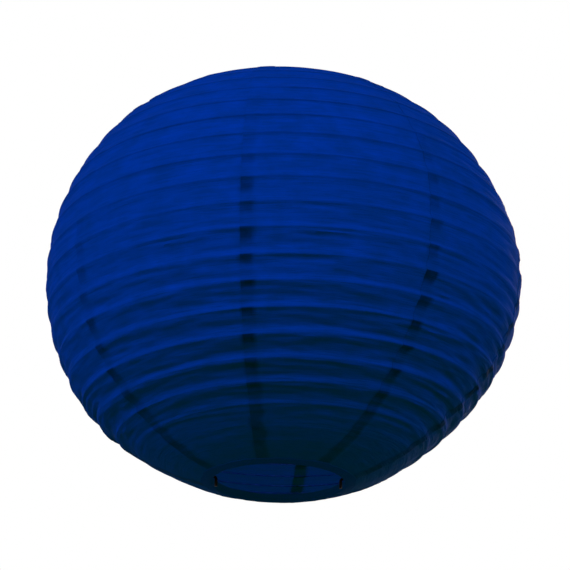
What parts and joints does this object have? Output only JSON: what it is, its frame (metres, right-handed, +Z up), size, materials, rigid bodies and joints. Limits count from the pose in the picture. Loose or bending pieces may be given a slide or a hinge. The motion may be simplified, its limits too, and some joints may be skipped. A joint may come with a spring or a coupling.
{
  "type": "accordion paper lantern",
  "caption": "Round dyed-paper lantern that folds flat: pasted panels on a spiral wire rib, a bound wire ring at each mouth and a wire expander with a hanging eye.",
  "frame": {"origin": "inside the top of the hanging eye, where a cord or hook bears", "axes": "+Z up along the lantern's axis, -Y towards the front, +X to the right along the expander's frame"},
  "size_m": [0.3476, 0.3487, 0.3357],
  "materials": {
    "blue_paper": "thin dyed paper, matt, a little translucent",
    "binding_paper": "dyed paper strip, matt, two layers",
    "rib_wire": "plain drawn wire",
    "ring_wire": "plain drawn wire",
    "expander_wire": "zinc-bright spring wire"
  },
  "bodies": {
    "expander": {"expander": "expander_wire"},
    "shade": {"paper_panel_1": "blue_paper", "paper_panel_2": "blue_paper", "paper_panel_3": "blue_paper", "paper_panel_4": "blue_paper", "paper_panel_5": "blue_paper", "paper_panel_6": "blue_paper", "paper_panel_7": "blue_paper", "paper_panel_8": "blue_paper", "spiral_rib": "rib_wire", "top_ring": "ring_wire", "top_binding": "binding_paper"},
    "bottom_rim": {"bottom_ring": "ring_wire", "bottom_binding": "binding_paper"}
  },
  "joints": [
    {"name": "lift_off", "type": "slide", "parent": "expander", "child": "shade", "axis": [0, 0, 1], "range_m": [0, 0.39]},
    {"name": "fold", "type": "slide", "parent": "shade", "child": "bottom_rim", "axis": [0, 0, 1], "range_m": [0, 0.28], "deforming": ["paper_panel_1", "paper_panel_2", "paper_panel_3", "paper_panel_4", "paper_panel_5", "paper_panel_6", "paper_panel_7", "paper_panel_8", "spiral_rib"]}
  ]
}
